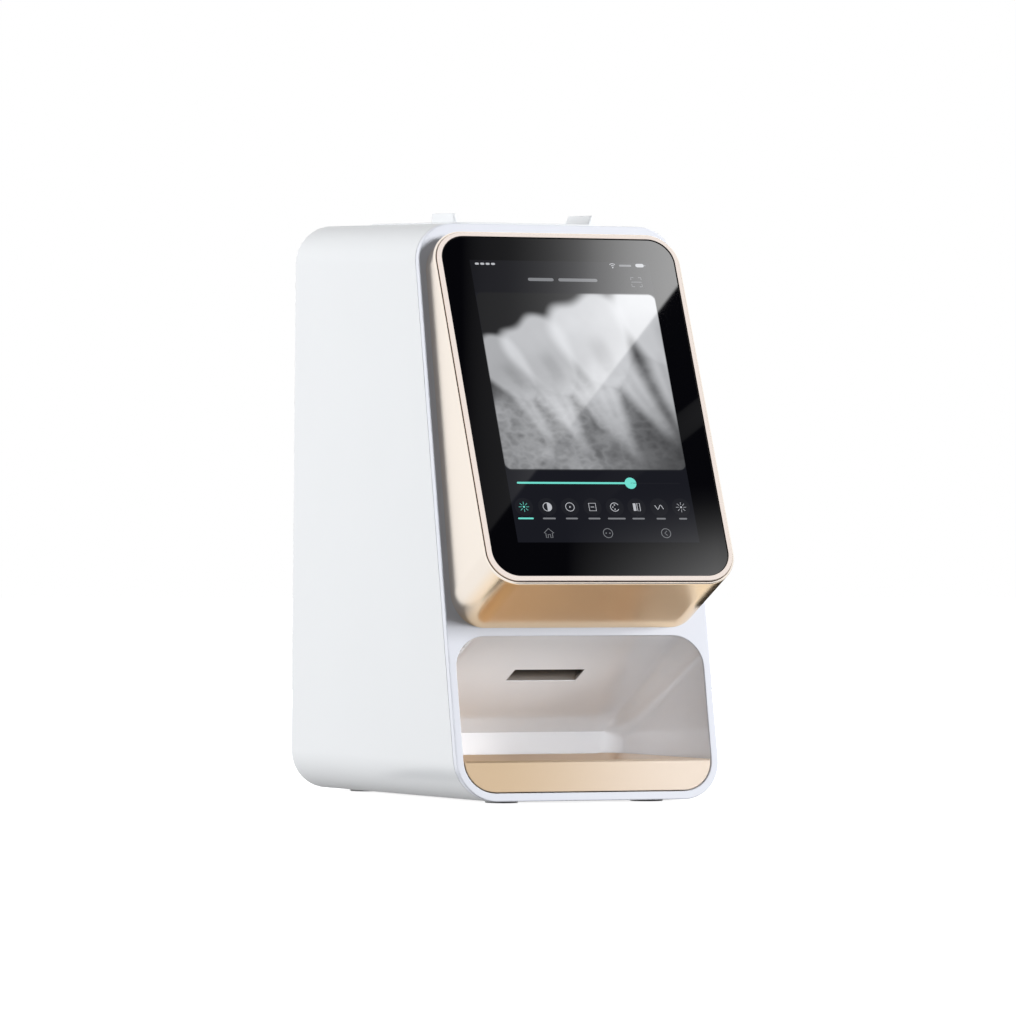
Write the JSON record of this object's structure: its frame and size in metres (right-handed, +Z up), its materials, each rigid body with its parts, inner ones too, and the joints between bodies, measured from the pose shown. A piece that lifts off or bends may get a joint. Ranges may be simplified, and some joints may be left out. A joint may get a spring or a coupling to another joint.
{
  "type": "computed radiography reader",
  "caption": "Desktop reader for dental imaging plates: upright white case, leaning touch screen in a gold housing, plate slot in the roof, and a bay with a pull-out tray below.",
  "frame": {"origin": "centre of the footprint, at the level of the feet's undersides", "axes": "+X to the right seen from the front, +Y to the rear, +Z up"},
  "size_m": [0.137, 0.263, 0.2888],
  "materials": {
    "white_shell": "cool white moulded shell, satin gloss",
    "white_frame": "white moulded frame, fine edge radius",
    "liner_plastic": "warm grey glossy moulding",
    "gold_satin": "champagne gold satin lacquer",
    "rose_ring": "pale rose gold fine satin",
    "gold_tray": "champagne gold satin lacquer",
    "screen_glass": "black printed cover glass over a lit screen",
    "dark_rubber": "black elastomer",
    "roller_rubber": "grey silicone sleeve",
    "black_plastic": "black moulded plastic",
    "sheet_steel": "zinc plated sheet",
    "steel_rod": "ground steel",
    "cast_aluminium": "machined aluminium",
    "circuit_board": "green solder mask",
    "brass_bush": "turned brass",
    "polished_mirror": "polished facets",
    "clear_optic": "clear optical resin",
    "lamp_red": "red lamp caps"
  },
  "bodies": {
    "case": {"base_plate": "sheet_steel", "bay_liner": "liner_plastic", "board_parts": "black_plastic", "board_standoffs": "brass_bush", "cover_glass": "screen_glass", "cross_bars": "steel_rod", "display_board": "circuit_board", "display_bracket": "sheet_steel", "display_gasket": "dark_rubber", "display_housing": "gold_satin", "display_ring": "rose_ring", "drive_belt": "dark_rubber", "erase_board": "circuit_board", "erase_lamps": "lamp_red", "fan_frame": "black_plastic", "feed_motor": "black_plastic", "front_chute": "black_plastic", "front_frame": "white_frame", "guide_rails": "white_frame", "heat_sink": "cast_aluminium", "high_voltage_module": "sheet_steel", "lan_socket": "sheet_steel", "laser_module": "brass_bush", "lcd_panel": "black_plastic", "left_side_plate": "sheet_steel", "light_collector": "clear_optic", "light_seals": "dark_rubber", "main_board": "circuit_board", "mirror_motor": "black_plastic", "optics_cover": "black_plastic", "outer_shell": "white_shell", "photomultiplier": "black_plastic", "power_inlet": "black_plastic", "rear_chute": "black_plastic", "rear_panel": "white_frame", "rear_screws": "steel_rod", "right_side_plate": "sheet_steel", "roller_bushes": "brass_bush", "rubber_feet": "dark_rubber", "scan_base": "cast_aluminium", "scan_lens": "clear_optic", "switch_frame": "black_plastic", "top_panel": "white_frame", "usb_socket": "sheet_steel"},
    "tray": {"tray_front": "gold_tray", "tray_pan": "gold_tray"},
    "upper_feed_roller": {"upper_feed_shaft": "steel_rod", "upper_feed_sleeve": "roller_rubber", "upper_feed_pulley": "cast_aluminium"},
    "lower_feed_roller": {"lower_feed_shaft": "steel_rod", "lower_feed_sleeve": "roller_rubber", "lower_feed_pulley": "cast_aluminium"},
    "upper_pinch_roller": {"upper_pinch_shaft": "steel_rod", "upper_pinch_sleeve": "roller_rubber"},
    "lower_pinch_roller": {"lower_pinch_shaft": "steel_rod", "lower_pinch_sleeve": "roller_rubber"},
    "motor_rotor": {"motor_pulley": "cast_aluminium"},
    "mirror": {"scan_mirror": "polished_mirror"},
    "fan_rotor": {"fan_rotor": "black_plastic"},
    "rocker": {"power_rocker": "black_plastic"}
  },
  "joints": [
    {"name": "tray_slide", "type": "slide", "parent": "case", "child": "tray", "axis": [0, -1, 0], "range_m": [0, 0.085]},
    {"name": "upper_feed_spin", "type": "hinge", "parent": "case", "child": "upper_feed_roller", "pos_m": [0, -0.00165, 0.2372], "axis": [1, 0, 0], "continuous": true},
    {"name": "lower_feed_spin", "type": "hinge", "parent": "case", "child": "lower_feed_roller", "pos_m": [0, -0.0287, 0.09882], "axis": [1, 0, 0], "continuous": true},
    {"name": "upper_pinch_spin", "type": "hinge", "parent": "case", "child": "upper_pinch_roller", "pos_m": [0, -0.01333, 0.23948], "axis": [1, 0, 0], "continuous": true},
    {"name": "lower_pinch_spin", "type": "hinge", "parent": "case", "child": "lower_pinch_roller", "pos_m": [0, -0.04038, 0.1011], "axis": [1, 0, 0], "continuous": true},
    {"name": "motor_spin", "type": "hinge", "parent": "case", "child": "motor_rotor", "pos_m": [0, -0.00112, 0.11584], "axis": [1, 0, 0], "continuous": true},
    {"name": "mirror_spin", "type": "hinge", "parent": "case", "child": "mirror", "pos_m": [0, 0.04534, 0.16586], "axis": [0, 0.1919, 0.9814], "continuous": true},
    {"name": "fan_spin", "type": "hinge", "parent": "case", "child": "fan_rotor", "pos_m": [0, 0.12159, 0.23602], "axis": [0, 0.9997, 0.0253], "continuous": true},
    {"name": "power_rock", "type": "hinge", "parent": "case", "child": "rocker", "pos_m": [0.044, 0.12522, 0.07306], "axis": [-1, 0, 0], "range_deg": [0, 16]}
  ],
  "couplings": [
    {"joint": "lower_feed_spin", "follows": "upper_feed_spin", "ratio": 1},
    {"joint": "upper_pinch_spin", "follows": "upper_feed_spin", "ratio": -1.0909},
    {"joint": "lower_pinch_spin", "follows": "upper_feed_spin", "ratio": -1.0909},
    {"joint": "motor_spin", "follows": "upper_feed_spin", "ratio": 1}
  ]
}
